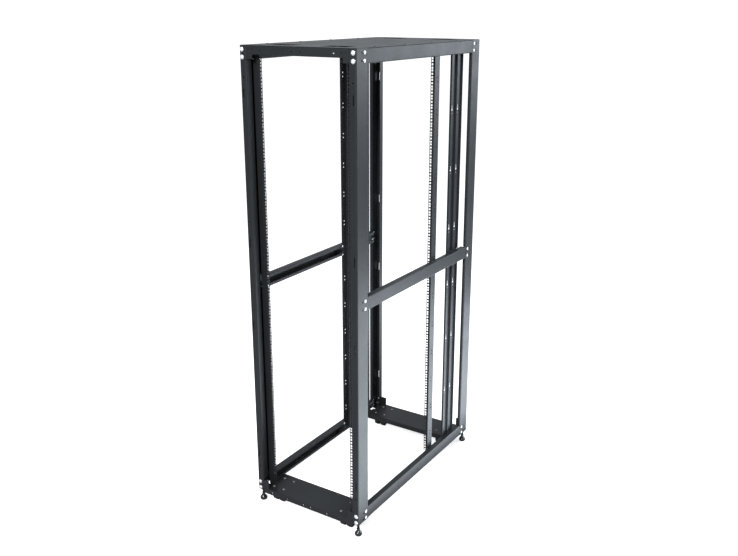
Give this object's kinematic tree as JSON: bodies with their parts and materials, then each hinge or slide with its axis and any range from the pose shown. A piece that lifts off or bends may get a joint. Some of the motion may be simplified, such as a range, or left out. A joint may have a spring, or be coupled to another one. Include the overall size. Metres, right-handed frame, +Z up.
{
  "type": "open network rack cabinet frame",
  "caption": "Open four-post network rack cabinet frame with folded-steel posts, square-hole equipment rails, power strip channels, top panel, levelling feet and casters.",
  "frame": {"origin": "on the floor under the middle of the rack's footprint", "axes": "+Z up, the equipment side's front towards -Y, +X to the right seen from the front"},
  "size_m": [0.616, 1.14, 2.257],
  "materials": {
    "black_paint": "satin black powder coat on folded steel sheet",
    "zinc": "bright zinc-plated steel",
    "black_screws": "blackened steel",
    "caster_steel": "zinc-plated steel",
    "stud_steel": "blackened threaded steel",
    "foot_plastic": "glossy black moulded plastic",
    "wheel_plastic": "black moulded nylon",
    "hood_plastic": "black moulded nylon"
  },
  "bodies": {
    "frame": {"front_left_post": "black_paint", "front_right_post": "black_paint", "rear_left_post": "black_paint", "rear_right_post": "black_paint", "top_panel": "black_paint", "front_top_rail": "black_paint", "rear_top_rail": "black_paint", "left_top_rail": "black_paint", "right_top_rail": "black_paint", "left_middle_rail": "black_paint", "right_middle_rail": "black_paint", "left_bottom_rail": "black_paint", "right_bottom_rail": "black_paint", "front_base_tray": "black_paint", "rear_base_tray": "black_paint", "base_corner_plates": "black_paint", "front_left_rack_rail": "black_paint", "front_right_rack_rail": "black_paint", "rear_left_rack_rail": "black_paint", "rear_right_rack_rail": "black_paint", "left_front_power_channel": "black_paint", "left_rear_power_channel": "black_paint", "right_front_power_channel": "black_paint", "right_rear_power_channel": "black_paint", "foot_brackets": "black_paint", "foot_lock_nuts": "zinc", "caster_plates": "caster_steel", "caster_kingpins": "caster_steel", "front_corner_bolts": "zinc", "rear_corner_bolts": "zinc", "side_rail_bolts": "zinc", "top_panel_screws": "black_screws", "rack_rail_screws": "zinc", "power_channel_screws": "zinc", "caster_bolts": "zinc", "caster_nuts": "zinc"},
    "front_left_foot": {"front_left_foot_stud": "stud_steel", "front_left_foot_pad": "foot_plastic"},
    "front_left_caster": {"front_left_caster_fork": "hood_plastic", "front_left_caster_axle": "caster_steel"},
    "front_left_caster_left_tread": {"front_left_caster_left_wheel": "wheel_plastic"},
    "front_left_caster_right_tread": {"front_left_caster_right_wheel": "wheel_plastic"},
    "front_right_foot": {"front_right_foot_stud": "stud_steel", "front_right_foot_pad": "foot_plastic"},
    "front_right_caster": {"front_right_caster_fork": "hood_plastic", "front_right_caster_axle": "caster_steel"},
    "front_right_caster_left_tread": {"front_right_caster_left_wheel": "wheel_plastic"},
    "front_right_caster_right_tread": {"front_right_caster_right_wheel": "wheel_plastic"},
    "rear_left_foot": {"rear_left_foot_stud": "stud_steel", "rear_left_foot_pad": "foot_plastic"},
    "rear_left_caster": {"rear_left_caster_fork": "hood_plastic", "rear_left_caster_axle": "caster_steel"},
    "rear_left_caster_left_tread": {"rear_left_caster_left_wheel": "wheel_plastic"},
    "rear_left_caster_right_tread": {"rear_left_caster_right_wheel": "wheel_plastic"},
    "rear_right_foot": {"rear_right_foot_stud": "stud_steel", "rear_right_foot_pad": "foot_plastic"},
    "rear_right_caster": {"rear_right_caster_fork": "hood_plastic", "rear_right_caster_axle": "caster_steel"},
    "rear_right_caster_left_tread": {"rear_right_caster_left_wheel": "wheel_plastic"},
    "rear_right_caster_right_tread": {"rear_right_caster_right_wheel": "wheel_plastic"}
  },
  "joints": [
    {"name": "front_left_foot_thread", "type": "slide", "parent": "frame", "child": "front_left_foot", "axis": [0, 0, 1], "range_m": [-0.01, 0.02]},
    {"name": "front_left_caster_swivel", "type": "hinge", "parent": "frame", "child": "front_left_caster", "pos_m": [-0.206, -0.481, 0.065], "axis": [0, 0, 1], "continuous": true},
    {"name": "front_left_caster_left_wheel_spin", "type": "hinge", "parent": "front_left_caster", "child": "front_left_caster_left_tread", "pos_m": [-0.225, -0.509, 0.029], "axis": [1, 0, 0], "continuous": true},
    {"name": "front_left_caster_right_wheel_spin", "type": "hinge", "parent": "front_left_caster", "child": "front_left_caster_right_tread", "pos_m": [-0.187, -0.509, 0.029], "axis": [1, 0, 0], "continuous": true},
    {"name": "front_right_foot_thread", "type": "slide", "parent": "frame", "child": "front_right_foot", "axis": [0, 0, 1], "range_m": [-0.01, 0.02]},
    {"name": "front_right_caster_swivel", "type": "hinge", "parent": "frame", "child": "front_right_caster", "pos_m": [0.206, -0.481, 0.065], "axis": [0, 0, 1], "continuous": true},
    {"name": "front_right_caster_left_wheel_spin", "type": "hinge", "parent": "front_right_caster", "child": "front_right_caster_left_tread", "pos_m": [0.187, -0.509, 0.029], "axis": [1, 0, 0], "continuous": true},
    {"name": "front_right_caster_right_wheel_spin", "type": "hinge", "parent": "front_right_caster", "child": "front_right_caster_right_tread", "pos_m": [0.225, -0.509, 0.029], "axis": [1, 0, 0], "continuous": true},
    {"name": "rear_left_foot_thread", "type": "slide", "parent": "frame", "child": "rear_left_foot", "axis": [0, 0, 1], "range_m": [-0.01, 0.02]},
    {"name": "rear_left_caster_swivel", "type": "hinge", "parent": "frame", "child": "rear_left_caster", "pos_m": [-0.206, 0.481, 0.065], "axis": [0, 0, 1], "continuous": true},
    {"name": "rear_left_caster_left_wheel_spin", "type": "hinge", "parent": "rear_left_caster", "child": "rear_left_caster_left_tread", "pos_m": [-0.225, 0.453, 0.029], "axis": [1, 0, 0], "continuous": true},
    {"name": "rear_left_caster_right_wheel_spin", "type": "hinge", "parent": "rear_left_caster", "child": "rear_left_caster_right_tread", "pos_m": [-0.187, 0.453, 0.029], "axis": [1, 0, 0], "continuous": true},
    {"name": "rear_right_foot_thread", "type": "slide", "parent": "frame", "child": "rear_right_foot", "axis": [0, 0, 1], "range_m": [-0.01, 0.02]},
    {"name": "rear_right_caster_swivel", "type": "hinge", "parent": "frame", "child": "rear_right_caster", "pos_m": [0.206, 0.481, 0.065], "axis": [0, 0, 1], "continuous": true},
    {"name": "rear_right_caster_left_wheel_spin", "type": "hinge", "parent": "rear_right_caster", "child": "rear_right_caster_left_tread", "pos_m": [0.187, 0.453, 0.029], "axis": [1, 0, 0], "continuous": true},
    {"name": "rear_right_caster_right_wheel_spin", "type": "hinge", "parent": "rear_right_caster", "child": "rear_right_caster_right_tread", "pos_m": [0.225, 0.453, 0.029], "axis": [1, 0, 0], "continuous": true}
  ]
}
